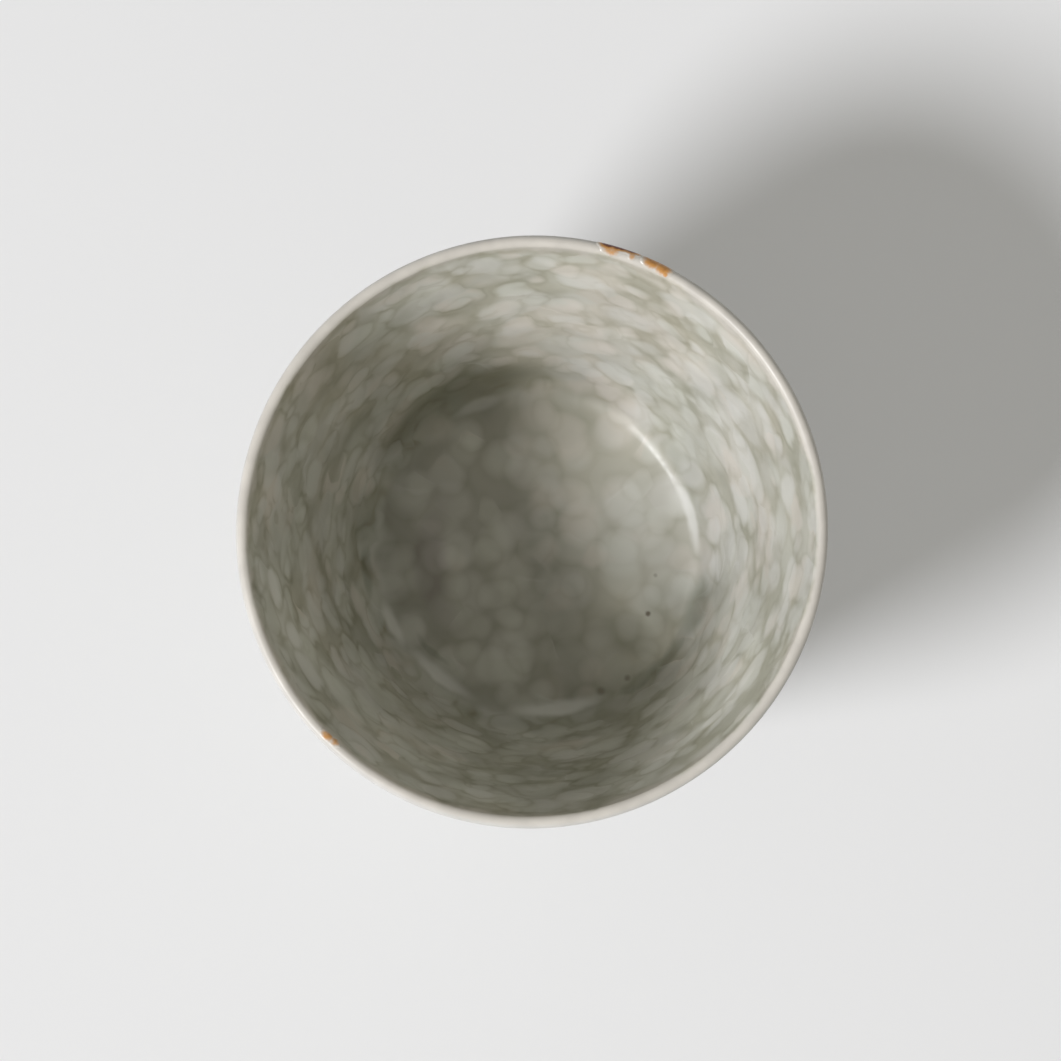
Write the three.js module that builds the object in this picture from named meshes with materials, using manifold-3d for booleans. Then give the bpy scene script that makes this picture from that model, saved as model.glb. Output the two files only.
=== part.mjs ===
// Soba choko: a small straight-sided cup for dipping sauce, thrown and turned in pale clay,
// with a mottled grey-green glaze and a few iron marks fired onto its lip.
// Millimetres, +Z up. The origin is on the axis, in the plane that the foot stands on.
// Profiles are drawn as radius and height, and turned about the axis.
import * as THREE from 'three';
import { mergeVertices } from 'three/addons/utils/BufferGeometryUtils.js';
import Module from 'manifold-3d';

// Outside of the finished cup
const MOUTH_RADIUS = 41;
const HEIGHT = 62;
const LIP_THICKNESS = 1.6;
// The knee is where the straight wall begins to turn in towards the foot.
const KNEE_RADIUS = 30.6;
const KNEE_HEIGHT = 10;

// Inside of the finished cup
// The floor's radius is taken where the straight inner wall would meet the floor.
const FLOOR_RADIUS = 25.2;
const FLOOR_HEIGHT = 10.5;
const FLOOR_CORNER_RADIUS = 3.2;

// Foot ring and the recess inside it
const FOOT_RADIUS = 28.4;
const FOOT_CHAMFER = 0.8;
const FOOT_FACE_WIDTH = 4;
const RECESS_DEPTH = 3.2;
const RECESS_SLOPE = 1.4;
const GLAZE_LINE_HEIGHT = 2.4;

// Coats, thin where glaze runs off the lip and thick where it pools on the floor
const WALL_GLAZE = 0.45;
const LIP_GLAZE = 0.25;
const FLOOR_GLAZE = 0.6;
const BASE_GLAZE = 0.4;
const MARK_FILM = 0.12;

// Iron marks: the bearing of the middle in degrees from +X, the length along the lip,
// and how far inside the mouth's outer edge the mark begins and ends.
const IRON_MARKS = [
  { name: 'iron_mark_long', bearing: 72.7, length: 5.5, begins: -0.3, ends: 0.75, colour: 0x6e3a20 },
  { name: 'iron_mark_broad', bearing: 64.6, length: 4.1, begins: -0.3, ends: 1.05, colour: 0xb8702c },
  { name: 'iron_mark_left', bearing: 225.8, length: 2.2, begins: 0.45, ends: 1.3, colour: 0xb87a50 },
];

// Steps of the turned surfaces
const TURN_STEPS = 72;
const KNEE_STEPS = 4;
const LIP_STEPS = 8;
const CORNER_STEPS = 6;

const clay = new THREE.MeshStandardMaterial({ color: 0xd8cdbb, roughness: 0.85, metalness: 0 });
const mottledGlaze = new THREE.MeshStandardMaterial({ color: 0xc4c0b6, roughness: 0.3, metalness: 0 });
const paleGlaze = new THREE.MeshStandardMaterial({ color: 0xddd4c6, roughness: 0.3, metalness: 0 });

const point = (radius, height) => new THREE.Vector2(radius, height);
const upWall = (lean) => point(Math.sin(lean), Math.cos(lean));

// Lean from upright of the straight wall that runs up from a knee and touches the round lip,
// on the lip's outer side (+1) or its inner side (-1).
function leanToLip(knee, lipCentre, lipRadius, side) {
  const reach = lipCentre.clone().sub(knee);
  return Math.atan2(reach.x, reach.y) + side * Math.asin(lipRadius / reach.length());
}

function arcPoints(centre, radius, fromAngle, toAngle, steps) {
  const clockwise = toAngle < fromAngle;
  const arc = new THREE.EllipseCurve(centre.x, centre.y, radius, radius, fromAngle, toAngle, clockwise);
  return arc.getPoints(steps);
}

// The finished surface, from the glaze's edge above the foot, up the outside, over the lip,
// down the inside and across the floor to the axis. Each stretch has its points and its coat.
function finishedStretches() {
  const lipRadius = LIP_THICKNESS / 2;
  const lipCentre = point(MOUTH_RADIUS - lipRadius, HEIGHT - lipRadius);

  const knee = point(KNEE_RADIUS, KNEE_HEIGHT);
  const outerLean = leanToLip(knee, lipCentre, lipRadius, 1);
  const glazeEdge = point(FOOT_RADIUS + WALL_GLAZE, GLAZE_LINE_HEIGHT);
  const kneeBend = (KNEE_HEIGHT - GLAZE_LINE_HEIGHT) / 2;
  const kneeControl = knee.clone().addScaledVector(upWall(outerLean), -kneeBend);
  const kneeCurve = new THREE.QuadraticBezierCurve(glazeEdge, kneeControl, knee);

  const floorEdge = point(FLOOR_RADIUS, FLOOR_HEIGHT);
  const innerLean = leanToLip(floorEdge, lipCentre, lipRadius, -1);
  const lip = arcPoints(lipCentre, lipRadius, -outerLean, Math.PI - innerLean, LIP_STEPS);

  const cornerHeight = FLOOR_HEIGHT + FLOOR_CORNER_RADIUS;
  const wallAtCorner = FLOOR_RADIUS + FLOOR_CORNER_RADIUS * Math.tan(innerLean);
  const cornerCentre = point(wallAtCorner - FLOOR_CORNER_RADIUS / Math.cos(innerLean), cornerHeight);
  const corner = arcPoints(cornerCentre, FLOOR_CORNER_RADIUS, -innerLean, -Math.PI / 2, CORNER_STEPS);

  return {
    outside: { points: [...kneeCurve.getPoints(KNEE_STEPS), lip[0]], coat: WALL_GLAZE },
    lip: { points: lip, coat: LIP_GLAZE },
    inside: { points: [lip.at(-1), ...corner], coat: WALL_GLAZE },
    floor: { points: [corner.at(-1), point(0, FLOOR_HEIGHT)], coat: FLOOR_GLAZE },
  };
}

// Moves each point of a profile along the surface's outward normal, by its own distance.
function offsetProfile(points, distances) {
  return points.map((here, index) => {
    const before = points[Math.max(index - 1, 0)];
    const after = points[Math.min(index + 1, points.length - 1)];
    const run = after.clone().sub(before).normalize();
    return here.clone().addScaledVector(point(run.y, -run.x), distances[index]);
  });
}

// Joins the stretches into one profile and finds the clay surface under the coats.
// Where two stretches meet, the thinner coat holds.
function layOut(stretches) {
  const finished = [];
  const coats = [];
  const spans = {};
  for (const [name, { points, coat }] of Object.entries(stretches)) {
    const joined = finished.length > 0;
    const first = joined ? finished.length - 1 : 0;
    if (joined) {
      coats[first] = Math.min(coats[first], coat);
    }
    for (const next of joined ? points.slice(1) : points) {
      finished.push(next);
      coats.push(coat);
    }
    spans[name] = [first, finished.length - 1];
  }
  const bare = offsetProfile(finished, coats.map((coat) => -coat));
  return { finished, bare, spans };
}

function turned(profile) {
  const geometry = new THREE.LatheGeometry(profile, TURN_STEPS);
  geometry.rotateX(Math.PI / 2);
  return geometry;
}

// A coat between two surfaces over one run of their profiles: a ring, or a dish if it reaches the axis.
function coatBetween(outer, inner, [first, last]) {
  const outerRun = outer.slice(first, last + 1);
  const innerRun = inner.slice(first, last + 1).reverse();
  const loop = [...innerRun, ...outerRun];
  const reachesAxis = innerRun[0].x === 0;
  return turned(reachesAxis ? loop : [...loop, innerRun[0]]);
}

const foot = {
  faceOuter: FOOT_RADIUS - FOOT_CHAMFER,
  faceInner: FOOT_RADIUS - FOOT_CHAMFER - FOOT_FACE_WIDTH,
  roofHeight: RECESS_DEPTH + BASE_GLAZE,
};
foot.roofRadius = foot.faceInner - RECESS_SLOPE;

function clayBody(bare) {
  const underside = [
    point(0, foot.roofHeight),
    point(foot.roofRadius, foot.roofHeight),
    point(foot.faceInner, 0),
    point(foot.faceOuter, 0),
    point(FOOT_RADIUS, FOOT_CHAMFER),
  ];
  return turned([...underside, ...bare]);
}

// The coat under the roof of the recess, ending on the recess's sloped side.
function baseGlaze() {
  const slopeThere = RECESS_SLOPE * (RECESS_DEPTH / foot.roofHeight);
  return turned([
    point(0, RECESS_DEPTH),
    point(foot.faceInner - slopeThere, RECESS_DEPTH),
    point(foot.roofRadius, foot.roofHeight),
    point(0, foot.roofHeight),
  ]);
}

const wasm = await Module();
wasm.setup();

function toSolid(geometry) {
  const bareGeometry = geometry.clone();
  bareGeometry.deleteAttribute('normal');
  bareGeometry.deleteAttribute('uv');
  const merged = mergeVertices(bareGeometry);
  return new wasm.Manifold(new wasm.Mesh({
    numProp: 3,
    vertProperties: new Float32Array(merged.attributes.position.array),
    triVerts: new Uint32Array(merged.index.array),
  }));
}

function toGeometry(solid) {
  const mesh = solid.getMesh();
  const geometry = new THREE.BufferGeometry();
  geometry.setAttribute('position', new THREE.BufferAttribute(mesh.vertProperties, 3));
  geometry.setIndex(new THREE.BufferAttribute(mesh.triVerts, 1));
  geometry.computeVertexNormals();
  return geometry;
}

// A mark is the part of a film over the whole lip that lies under an ellipse drawn in plan.
function ironMark(film, { bearing, length, begins, ends }) {
  const angle = THREE.MathUtils.degToRad(bearing);
  const middle = MOUTH_RADIUS - (begins + ends) / 2;
  const outline = new THREE.Shape();
  outline.absellipse(
    middle * Math.cos(angle), middle * Math.sin(angle),
    (ends - begins) / 2, length / 2,
    0, 2 * Math.PI, false, angle,
  );
  const stamp = new THREE.ExtrudeGeometry(outline, { depth: HEIGHT, bevelEnabled: false });
  stamp.translate(0, 0, HEIGHT / 2);
  return toGeometry(toSolid(film).intersect(toSolid(stamp)));
}

function piece(name, geometry, material) {
  const mesh = new THREE.Mesh(geometry, material);
  mesh.name = name;
  return mesh;
}

const { finished, bare, spans } = layOut(finishedStretches());
const insideSpan = [spans.inside[0], spans.floor[1]];

const cup = new THREE.Group();
cup.add(piece('clay_body', clayBody(bare), clay));
cup.add(piece('outer_glaze', coatBetween(finished, bare, spans.outside), mottledGlaze));
cup.add(piece('lip_glaze', coatBetween(finished, bare, spans.lip), paleGlaze));
cup.add(piece('inner_glaze', coatBetween(finished, bare, insideSpan), mottledGlaze));
cup.add(piece('base_glaze', baseGlaze(), mottledGlaze));

const filmSurface = offsetProfile(finished, finished.map(() => MARK_FILM));
const lipFilm = coatBetween(filmSurface, finished, spans.lip);
for (const mark of IRON_MARKS) {
  const enamel = new THREE.MeshStandardMaterial({ color: mark.colour, roughness: 0.35, metalness: 0 });
  cup.add(piece(mark.name, ironMark(lipFilm, mark), enamel));
}

export default cup;
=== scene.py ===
"""Soba choko cup: a thrown cup with a mottled grey-green glaze and iron marks on its lip.

Metres, +Z up. The origin is on the cup's axis, in the plane that the foot stands on.
Profiles are pairs of radius and height, turned about the axis as on a wheel.
"""
import math

import bpy
from mathutils import Matrix, Vector


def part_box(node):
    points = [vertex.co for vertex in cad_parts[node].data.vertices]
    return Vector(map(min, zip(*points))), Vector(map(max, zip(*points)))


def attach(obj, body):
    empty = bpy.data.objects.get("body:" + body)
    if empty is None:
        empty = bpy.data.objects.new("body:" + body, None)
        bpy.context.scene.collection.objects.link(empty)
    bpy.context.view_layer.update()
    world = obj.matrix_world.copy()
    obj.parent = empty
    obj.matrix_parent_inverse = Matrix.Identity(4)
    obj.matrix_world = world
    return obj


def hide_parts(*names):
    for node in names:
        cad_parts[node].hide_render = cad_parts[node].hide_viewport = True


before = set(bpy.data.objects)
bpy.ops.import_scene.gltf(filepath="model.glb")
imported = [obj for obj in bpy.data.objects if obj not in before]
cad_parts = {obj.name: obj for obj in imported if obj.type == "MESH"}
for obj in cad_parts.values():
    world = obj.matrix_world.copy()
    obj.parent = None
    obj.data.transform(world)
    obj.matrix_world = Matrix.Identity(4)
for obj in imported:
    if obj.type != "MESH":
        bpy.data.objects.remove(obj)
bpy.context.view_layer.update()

MM = 0.001

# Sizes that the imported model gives
LIP_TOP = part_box("lip_glaze")[1]
MOUTH_RADIUS = LIP_TOP.x
HEIGHT = LIP_TOP.z
GLAZE_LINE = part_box("outer_glaze")[0].z
RECESS_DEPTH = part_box("base_glaze")[0].z
RECESS_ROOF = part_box("base_glaze")[1].z

# Sizes of the wall, the floor and the foot
LIP_THICKNESS = 1.75 * MM
KNEE_RADIUS = 30.6 * MM
KNEE_HEIGHT = 10 * MM
FLOOR_HEIGHT = 10.5 * MM
FLOOR_RADIUS = 25.2 * MM
CORNER_RADIUS = 4.4 * MM
FOOT_RADIUS = 28.4 * MM
FOOT_CHAMFER = 0.8 * MM
FOOT_FACE_WIDTH = 4 * MM
RECESS_SLOPE = 1.4 * MM
FOOT_EDGE_RADIUS = 0.5 * MM
FACE_OUTER = FOOT_RADIUS - FOOT_CHAMFER
FACE_INNER = FACE_OUTER - FOOT_FACE_WIDTH
ROOF_RADIUS = FACE_INNER - RECESS_SLOPE

# Thickness of the coats
WALL_GLAZE = 0.45 * MM
LIP_GLAZE = 0.25 * MM
FLOOR_GLAZE = 0.6 * MM
MARK_FILM = 0.12 * MM
MARK_SINK = 0.04 * MM

# What the potter's hands leave: an oval mouth, a slow wobble, a dipping lip and throwing rings
MOUTH_OVAL = 0.3 * MM
NARROW_BEARING = math.radians(154)
WALL_WOBBLE = 0.2 * MM
LIP_DIP = 0.3 * MM
RING_DEPTH = 0.03 * MM
RING_PITCH = 6.5 * MM
RINGS_FADE = 0.8 * HEIGHT
RINGS_END = 0.97 * HEIGHT

# How the surfaces lie: glaze and clay a little uneven but calmer at the lip, the glaze swollen in the
# corner of the floor, most at one bearing, and its edge above the foot wandering up and down
GLAZE_RELIEF = 0.07 * MM
GLAZE_RELIEF_SIZE = 9 * MM
CLAY_RELIEF = 0.05 * MM
CLAY_RELIEF_SIZE = 3 * MM
CALMER_FROM = 0.9 * HEIGHT
CALMEST = 0.15
CORNER_SWELL = 0.8 * MM
SWELL_REACH = 5.5 * MM
SWELL_BEARING = math.radians(24)
SWELL_SPREAD = math.radians(38)
LEAST_SWELL = 0.1
SWELL_UNEVEN = 0.4
EDGE_WANDER = 0.7 * MM
EDGE_FADE = 5 * MM

# Fineness of the noises that go once around the axis, in cells per radius of the circle
WOBBLE_WAVES = 0.9
DIP_WAVES = 0.8
SWELL_WAVES = 2.2
EDGE_WAVES = 1.6

# Points nearer than this are welded, in a turned piece and in a film of iron. Steeper edges stay sharp.
TURNED_WELD = 1e-6
FILM_WELD = 1e-7
SHARP_ANGLE = math.radians(40)

# Steps along the profiles and around the axis. Clay under a coat keeps one point in every few.
GLAZE_EDGE_STEPS = 6
KNEE_STEPS = 12
WALL_STEPS = 64
LIP_STEPS = 28
CORNER_STEPS = 22
FLOOR_STEPS = 26
RECESS_STEPS = 24
ROOF_STEPS = 4
FOOT_STEPS = {"slope": 6, "inner edge": 6, "face": 10, "outer edge": 8, "side": 4}
COVERED_EVERY = 6
TURN_STEPS = 288

FULL_TURN = 2 * math.pi
NO_LIFT = Vector((0.0, 0.0))


class Graph:
    """Adds nodes to a tree and feeds their sockets from plain values or from other sockets."""

    def __init__(self, tree):
        self.tree = tree

    def feed(self, socket, value):
        if isinstance(value, bpy.types.NodeSocket):
            self.tree.links.new(value, socket)
        else:
            socket.default_value = value

    def add(self, kind, inputs=None, **settings):
        node = self.tree.nodes.new(kind)
        for name, value in settings.items():
            setattr(node, name, value)
        for socket, value in (inputs or {}).items():
            self.feed(node.inputs[socket], value)
        return node

    def math(self, operation, *values, clamp=False):
        node = self.add("ShaderNodeMath", operation=operation, use_clamp=clamp)
        for socket, value in zip(node.inputs, values):
            self.feed(socket, value)
        return node.outputs[0]

    def vector(self, operation, *values):
        node = self.add("ShaderNodeVectorMath", operation=operation)
        for socket, value in zip(node.inputs, values):
            self.feed(socket, value)
        return node.outputs[0]

    def length(self, vector):
        return self.vector("LENGTH", vector).node.outputs["Value"]

    def dot(self, first, second):
        return self.vector("DOT_PRODUCT", first, second).node.outputs["Value"]

    def scaled(self, vector, factor):
        node = self.add("ShaderNodeVectorMath", {"Vector": vector, "Scale": factor}, operation="SCALE")
        return node.outputs[0]

    def split(self, vector):
        return self.add("ShaderNodeSeparateXYZ", {"Vector": vector}).outputs

    def joined(self, x, y, z):
        return self.add("ShaderNodeCombineXYZ", {"X": x, "Y": y, "Z": z}).outputs[0]

    def step(self, value, low, high, at_low=0.0, at_high=1.0):
        """A smooth step from at_low to at_high as value goes from low to high."""
        inputs = {"Value": value, "From Min": low, "From Max": high, "To Min": at_low, "To Max": at_high}
        return self.add("ShaderNodeMapRange", inputs, interpolation_type="SMOOTHSTEP").outputs[0]

    def band(self, value, begins, full, fades, ends):
        """A smooth band: nothing to one between the first two values, and back between the last two."""
        return self.math("MULTIPLY", self.step(value, begins, full), self.step(value, fades, ends, 1.0, 0.0))

    def noise(self, vector, scale, detail=2.0, roughness=0.5):
        inputs = {"Vector": vector, "Scale": scale, "Detail": detail, "Roughness": roughness}
        return self.add("ShaderNodeTexNoise", inputs).outputs

    def drift(self, place, scale, reach, detail=0.0):
        """A vector that wanders from place to place, by up to half the reach each way."""
        centred = self.vector("SUBTRACT", self.noise(place, scale, detail=detail)[1], (0.5, 0.5, 0.5))
        return self.scaled(centred, reach)

    def nudged(self, value, noise, reach):
        """A value that a noise moves by up to half the reach each way."""
        return self.math("MULTIPLY_ADD", self.math("SUBTRACT", noise, 0.5), reach, value)

    def blend(self, factor, first, second, how="MIX"):
        node = self.add("ShaderNodeMix", data_type="RGBA", blend_type=how)
        self.feed(node.inputs[0], factor)
        self.feed(node.inputs[6], first)
        self.feed(node.inputs[7], second)
        return node.outputs[2]

    def shaded(self, factor, colour, shade):
        return self.blend(factor, colour, shade, how="MULTIPLY")


# Profiles of the finished surface and of the clay under it


def lean_to_lip(knee, lip_centre, lip_radius, side):
    """Lean from upright of the straight wall from a knee to the lip's outer (+1) or inner (-1) side."""
    reach = lip_centre - knee
    return math.atan2(reach.x, reach.y) + side * math.asin(lip_radius / reach.length)


def arc(centre, radius, start, end, steps):
    turns = [start + (end - start) * step / steps for step in range(steps + 1)]
    return [centre + radius * Vector((math.cos(turn), math.sin(turn))) for turn in turns]


def straight(start, end, steps):
    return [start.lerp(end, step / steps) for step in range(steps + 1)]


def bent(start, control, end, steps):
    shares = [step / steps for step in range(steps + 1)]
    return [start.lerp(control, share).lerp(control.lerp(end, share), share) for share in shares]


LIP_RADIUS = LIP_THICKNESS / 2
LIP_CENTRE = Vector((MOUTH_RADIUS - LIP_RADIUS, HEIGHT - LIP_RADIUS))
OUTER_KNEE = Vector((KNEE_RADIUS, KNEE_HEIGHT))
FLOOR_EDGE = Vector((FLOOR_RADIUS, FLOOR_HEIGHT))
OUTER_LEAN = lean_to_lip(OUTER_KNEE, LIP_CENTRE, LIP_RADIUS, 1)
INNER_LEAN = lean_to_lip(FLOOR_EDGE, LIP_CENTRE, LIP_RADIUS, -1)

# The middle of the wall's thickness: its radius level with the floor, and how that grows with height
WALL_MIDDLE = (FLOOR_RADIUS + KNEE_RADIUS) / 2
WALL_SLOPE = (math.tan(INNER_LEAN) + math.tan(OUTER_LEAN)) / 2


def finished_stretches():
    """The finished surface, from the glaze's edge above the foot to the middle of the floor.

    Each stretch has its points and the thickness of its coat.
    """
    edge_centre = Vector((FOOT_RADIUS, GLAZE_LINE + WALL_GLAZE))
    edge = arc(edge_centre, WALL_GLAZE, -math.pi / 2, 0, GLAZE_EDGE_STEPS)
    up_wall = Vector((math.sin(OUTER_LEAN), math.cos(OUTER_LEAN)))
    control = OUTER_KNEE - up_wall * (KNEE_HEIGHT - GLAZE_LINE) / 2
    knee = bent(edge[-1], control, OUTER_KNEE, KNEE_STEPS)

    lip = arc(LIP_CENTRE, LIP_RADIUS, -OUTER_LEAN, math.pi - INNER_LEAN, LIP_STEPS)

    corner_height = FLOOR_HEIGHT + CORNER_RADIUS
    wall_there = FLOOR_RADIUS + CORNER_RADIUS * math.tan(INNER_LEAN)
    corner_centre = Vector((wall_there - CORNER_RADIUS / math.cos(INNER_LEAN), corner_height))
    corner = arc(corner_centre, CORNER_RADIUS, -INNER_LEAN, -math.pi / 2, CORNER_STEPS)

    outside = edge + knee[1:] + straight(OUTER_KNEE, lip[0], WALL_STEPS)[1:]
    inside = straight(lip[-1], corner[0], WALL_STEPS) + corner[1:]
    floor = straight(corner[-1], Vector((0, FLOOR_HEIGHT)), FLOOR_STEPS)
    return {
        "outside": (outside, WALL_GLAZE),
        "lip": (lip, LIP_GLAZE),
        "inside": (inside, WALL_GLAZE),
        "floor": (floor, FLOOR_GLAZE),
    }


def outward(points):
    """The unit normal that points out of the surface, at each point of a profile."""
    normals = []
    for index in range(len(points)):
        run = points[min(index + 1, len(points) - 1)] - points[max(index - 1, 0)]
        normals.append(Vector((run.y, -run.x)).normalized())
    return normals


def lay_out(stretches):
    """One profile of finished points, their normals, the clay points under them, and each stretch's span."""
    finished, coats, spans = [], [], {}
    for name, (points, coat) in stretches.items():
        first = max(len(finished) - 1, 0)
        finished += points[1:] if finished else points
        coats += [coat] * (len(finished) - len(coats))
        spans[name] = (first, len(finished) - 1)
    normals = outward(finished)
    bare = [point - normal * coat for point, normal, coat in zip(finished, normals, coats)]
    return finished, normals, bare, spans


FINISHED, NORMALS, BARE, SPANS = lay_out(finished_stretches())


def coat_loop(first, last):
    """A coat's section: back along the clay with few points, then along the finished surface."""
    picks = sorted({*range(first, last + 1, COVERED_EVERY), last}, reverse=True)
    back = [(BARE[index], NO_LIFT) for index in picks]
    skin = [(FINISHED[index], NORMALS[index]) for index in range(first, last + 1)]
    loop = back + skin
    reaches_axis = last == len(FINISHED) - 1
    return loop if reaches_axis else loop + back[:1]


def base_glaze_loop():
    skin_radius = FACE_INNER - RECESS_SLOPE * RECESS_DEPTH / RECESS_ROOF
    down = Vector((0, -1))
    skin = straight(Vector((0, RECESS_DEPTH)), Vector((skin_radius, RECESS_DEPTH)), RECESS_STEPS)
    back = straight(Vector((ROOF_RADIUS, RECESS_ROOF)), Vector((0, RECESS_ROOF)), ROOF_STEPS)
    return [(point, down) for point in skin] + [(point, NO_LIFT) for point in back]


def clay_loop():
    """The body's section: the recess, the foot ring with its worn edges, then the clay under the coats."""
    roof = straight(Vector((0, RECESS_ROOF)), Vector((ROOF_RADIUS, RECESS_ROOF)), ROOF_STEPS)
    slope_end = Vector((FACE_INNER - FOOT_EDGE_RADIUS / 2, FOOT_EDGE_RADIUS))
    slope = straight(roof[-1], slope_end, FOOT_STEPS["slope"])[1:]
    face_start = Vector((FACE_INNER + FOOT_EDGE_RADIUS, 0))
    inner_edge = bent(slope_end, Vector((FACE_INNER, 0)), face_start, FOOT_STEPS["inner edge"])[1:]
    face = straight(inner_edge[-1], Vector((FACE_OUTER, 0)), FOOT_STEPS["face"])[1:]
    chamfer_centre = Vector((FACE_OUTER, FOOT_CHAMFER))
    outer_edge = arc(chamfer_centre, FOOT_CHAMFER, -math.pi / 2, 0, FOOT_STEPS["outer edge"])[1:]
    side = straight(outer_edge[-1], BARE[0], FOOT_STEPS["side"])[1:]
    shown = roof + slope + inner_edge + face + outer_edge + side
    covered = [BARE[index] for index in sorted({*range(1, len(BARE), COVERED_EVERY), len(BARE) - 1})]
    return list(zip(shown, outward(shown))) + [(point, NO_LIFT) for point in covered]


# Geometry trees


def new_tree(name, inputs):
    """A geometry tree with a geometry input and output and the named inputs, each a kind and a default."""
    tree = bpy.data.node_groups.new(name, "GeometryNodeTree")
    tree.interface.new_socket("Geometry", in_out="INPUT", socket_type="NodeSocketGeometry")
    tree.interface.new_socket("Geometry", in_out="OUTPUT", socket_type="NodeSocketGeometry")
    for label, (kind, default) in inputs.items():
        socket = tree.interface.new_socket(label, in_out="INPUT", socket_type="NodeSocket" + kind)
        if default is not None:
            socket.default_value = default
    graph = Graph(tree)
    return tree, graph, graph.add("NodeGroupInput").outputs, graph.add("NodeGroupOutput")


def finish_tree(g, mesh, weld, hand_thrown, given, out):
    """Welds a mesh, makes it uneven as by hand, shades it smooth and gives it the finish."""
    closed = g.add("GeometryNodeMergeByDistance", {"Geometry": mesh, "Distance": weld})
    thrown = g.add("GeometryNodeGroup", node_tree=hand_thrown)
    g.feed(thrown.inputs["Geometry"], closed.outputs[0])
    smooth = g.add("GeometryNodeSetShadeSmooth", {"Geometry": thrown.outputs[0]})
    whole = g.add("GeometryNodeRealizeInstances", {"Geometry": smooth.outputs[0]})
    finish = g.add("GeometryNodeSetMaterial", {"Geometry": whole.outputs[0], "Material": given["Finish"]})
    g.feed(out.inputs[0], finish.outputs[0])


def hand_thrown_tree():
    """Moves a cup's points by where they are: an oval mouth, a slow wobble of the wall and a dipping lip."""
    tree, g, given, out = new_tree("hand_thrown", {
        "Mouth Radius": ("Float", MOUTH_RADIUS),
        "Height": ("Float", HEIGHT),
        "Oval": ("Float", MOUTH_OVAL),
        "Narrow Bearing": ("Float", NARROW_BEARING),
        "Wobble": ("Float", WALL_WOBBLE),
        "Lip Dip": ("Float", LIP_DIP),
        "Seed": ("Float", 3.0),
    })
    x, y, z = g.split(g.add("GeometryNodeInputPosition").outputs[0])
    plan = g.joined(x, y, 0.0)
    share = g.math("DIVIDE", g.length(plan), given["Mouth Radius"])
    rise = g.math("DIVIDE", z, given["Height"])
    rise_squared = g.math("MULTIPLY", rise, rise)

    bearing = g.math("ARCTAN2", y, x)
    from_narrow = g.math("SUBTRACT", bearing, given["Narrow Bearing"])
    twice = g.math("COSINE", g.math("MULTIPLY", from_narrow, 2.0))
    narrow = g.math("MULTIPLY_ADD", twice, 0.5, 0.5)
    seeded = g.math("ADD", rise, given["Seed"])
    round_trip = g.joined(g.math("COSINE", bearing), g.math("SINE", bearing), seeded)
    slow = g.noise(round_trip, WOBBLE_WAVES, detail=1.0)[0]
    pull = g.math("MULTIPLY_ADD", narrow, given["Oval"], g.math("MULTIPLY", slow, given["Wobble"]))
    pull = g.math("MULTIPLY", pull, g.math("MULTIPLY", share, rise_squared))
    inward = g.scaled(g.vector("NORMALIZE", plan), g.math("MULTIPLY", pull, -1.0))

    dip_trip = g.vector("ADD", round_trip, (0.0, 0.0, 7.0))
    dip = g.math("MULTIPLY", g.noise(dip_trip, DIP_WAVES, detail=1.0)[0], given["Lip Dip"])
    dip = g.math("MULTIPLY", dip, g.math("MULTIPLY", rise_squared, rise_squared))
    drop = g.joined(0.0, 0.0, g.math("MULTIPLY", dip, -1.0))

    inputs = {"Geometry": given["Geometry"], "Offset": g.vector("ADD", inward, drop)}
    moved = g.add("GeometryNodeSetPosition", inputs)
    g.feed(out.inputs[0], moved.outputs[0])
    return tree


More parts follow.
